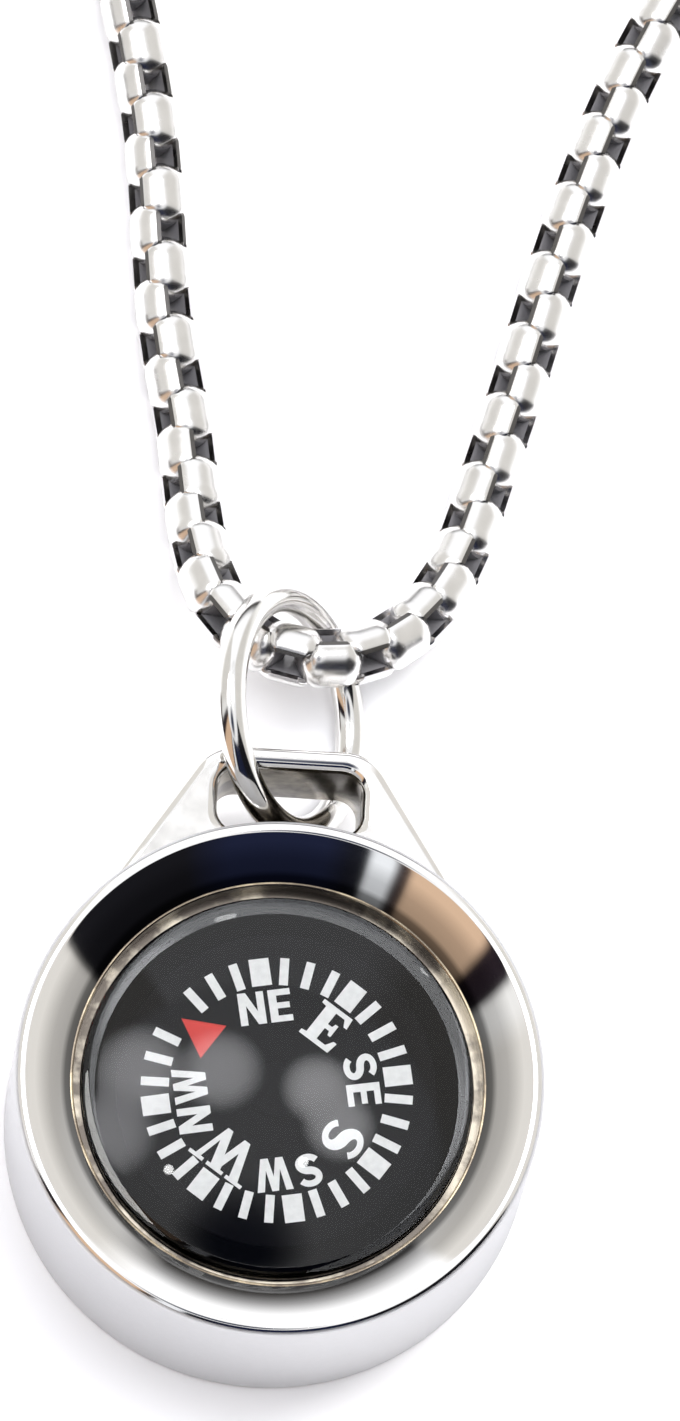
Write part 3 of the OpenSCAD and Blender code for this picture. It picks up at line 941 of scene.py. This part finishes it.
def make_room():
    """White room round the object, with the walls and zones that polished steel mirrors."""
    world = bpy.data.worlds.new("room")
    world.use_nodes = True
    tree = world.node_tree
    place = tree.nodes.new("ShaderNodeTexCoord").outputs["Generated"]
    split = tree.nodes.new("ShaderNodeSeparateXYZ")
    tree.links.new(place, split.inputs[0])
    height = tree.nodes.new("ShaderNodeMapRange")
    height.inputs["From Min"].default_value = -1.0
    tree.links.new(split.outputs["Z"], height.inputs["Value"])
    air = ramp(tree, height.outputs["Result"], [(z / 2 + 0.5, colour) for z, colour in ROOM_HEIGHTS])
    turn = azimuth_share(tree, split)
    lower, upper = (ramp(tree, turn, wall_stops(column)) for column in (LOWER, UPPER))
    walls = blend(tree, mask_above(tree, split, WALL_FOOT, FOOT_FADE), lower, upper)
    colour = blend(tree, mask_above(tree, split, WALL_TOP, TOP_FADE), walls, air)
    for azimuth, elevation, inner, outer, tint in ROOM_ZONES:
        dot = tree.nodes.new("ShaderNodeVectorMath")
        dot.operation = "DOT_PRODUCT"
        dot.inputs[1].default_value = direction(azimuth, elevation)
        tree.links.new(place, dot.inputs[0])
        edges = (math.cos(math.radians(outer)), math.cos(math.radians(inner)))
        near = mask_from(tree, dot.outputs["Value"], *edges)
        colour = blend(tree, near, colour, tint)
    tree.links.new(colour, tree.nodes["Background"].inputs["Color"])
    bpy.context.scene.world = world


# Lights: name, azimuth, elevation, distance and size in metres, power in watts, colour
LIGHTS = [
    ("key", 48, 50, 0.9, 0.4, 4.5, (1.0, 0.985, 0.96)),
    ("fill", 0, 90, 1.5, 1.5, 14.0, (0.95, 0.97, 1.0))
]


def add_light(name, way, distance, size, power, colour):
    """A soft lamp that the steel doesn't mirror, since the room already has what it mirrors."""
    data = bpy.data.lights.new(name, "AREA")
    data.shape = "DISK"
    data.size = size
    data.energy = power
    data.color = colour
    obj = bpy.data.objects.new(name, data)
    bpy.context.scene.collection.objects.link(obj)
    obj.location = way * distance
    obj.rotation_mode = "QUATERNION"
    obj.rotation_quaternion = (-way).to_track_quat("-Z", "Y")
    obj.visible_glossy = False
    obj.visible_camera = False


# Where the camera is, in degrees and metres, the photo's scale and height, and what it aims at
CAMERA_ELEVATION = 74.3
CAMERA_HEADING = 10.7
CAMERA_ROLL = 13.7
CAMERA_DISTANCE = 1.0
CAMERA_CLIP = (0.01, 20.0)
SENSOR_MM = 36.0
PIXELS_PER_M = 19350
PHOTO_TALL = 1421
AIM = Vector((2.82 * MM, 22.75 * MM, 0))


def make_camera():
    data = bpy.data.cameras.new("camera")
    data.sensor_width = SENSOR_MM
    data.lens = data.sensor_width * CAMERA_DISTANCE * PIXELS_PER_M / PHOTO_TALL
    data.clip_start, data.clip_end = CAMERA_CLIP
    camera = bpy.data.objects.new("camera", data)
    bpy.context.scene.collection.objects.link(camera)
    back = direction(180 + CAMERA_HEADING, CAMERA_ELEVATION)
    camera.rotation_mode = "QUATERNION"
    camera.location = AIM + back * CAMERA_DISTANCE
    level = (-back).to_track_quat("-Z", "Y")
    camera.rotation_quaternion = level @ Quaternion((0, 0, 1), math.radians(CAMERA_ROLL))
    bpy.context.scene.camera = camera


# Finishes
STEEL = (0.86, 0.848, 0.828)
POLISH_RELIEF = 0.002 * MM
BLACK = (0.004, 0.004, 0.005)


def case_finishes():
    """The case's materials, in the order of their names above."""
    return [
        metal("case_steel", STEEL, 0.05, 0.09, 700.0, POLISH_RELIEF),
        metal("case_satin", (0.58, 0.58, 0.59), 0.45, 0.55, 2500.0, 0.05 * MM),
        # The step's rim: painted shade with painted glints
        shade_and_glint_metal("case_ledge", (0.18, 0.15, 0.115), (0.48, 0.40, 0.28), 0.2, 380.0),
        # The bezel: polished steel with painted shade, darker towards its foot
        painted_shade_metal("case_bezel", STEEL, 0.06, LEDGE_R + STEP_RIM_W, BEZEL_R, BEZEL_PAINTED_SHADE),
        # The lug's level top: a darker copy of the steel, painted shade
        metal("lug_face", (0.60, 0.59, 0.57), 0.08, 0.12, 900.0, POLISH_RELIEF),
        # The recess and the walls of the lug's slot: painted shade with painted glints
        shade_and_glint_metal("case_recess", (0.12, 0.105, 0.09), (0.42, 0.38, 0.31), 0.25, 380.0)
    ]


def chain_finishes():
    """The chain's materials, in the order of their names above."""
    return [
        metal("chain_steel", (0.79, 0.78, 0.765), 0.2, 0.28, 900.0, POLISH_RELIEF),
        # The inside of the links and their end bars: a dark plastic that stands in for painted shade between
        # the links
        plastic("chain_dark", (0.19, 0.185, 0.195), 0.3, 0.6, 2500.0),
        # The strip's sides and upper edges: dark painted shade
        metal("chain_shade", (0.13, 0.125, 0.12), 0.25, 0.35, 1500.0, 0.02 * MM),
        # The strip's lower edges: a lighter painted shade
        metal("chain_edge", (0.60, 0.59, 0.60), 0.2, 0.28, 900.0, POLISH_RELIEF)
    ]


ring_steel = metal("ring_steel", (0.76, 0.75, 0.73), 0.08, 0.14, 900.0, POLISH_RELIEF)
print_white = plastic("print_white", (0.85, 0.86, 0.86), 0.5, 0.3, 3000.0)
print_red = plastic("print_red", (0.7, 0.03, 0.02), 0.5, 0.3, 3000.0)

make_camera()
make_case(case_finishes())
make_cup(plastic("cup_black", BLACK, 0.4, 0.0, 900.0))
make_dome(clear("clear_dome"))
make_card(plastic("card_black", BLACK, 0.4, 0.0, 900.0))
make_marks(print_white)
make_north_mark(print_red)
make_letters(print_white)
make_jump_ring(ring_steel)
make_chain(chain_finishes())
finish_small_pieces(ring_steel)
make_stage()
make_room()
for name, azimuth, elevation, distance, size, power, colour in LIGHTS:
    add_light(name, direction(azimuth, elevation), distance, size, power, colour)
bpy.context.scene.view_settings.view_transform = "Standard"
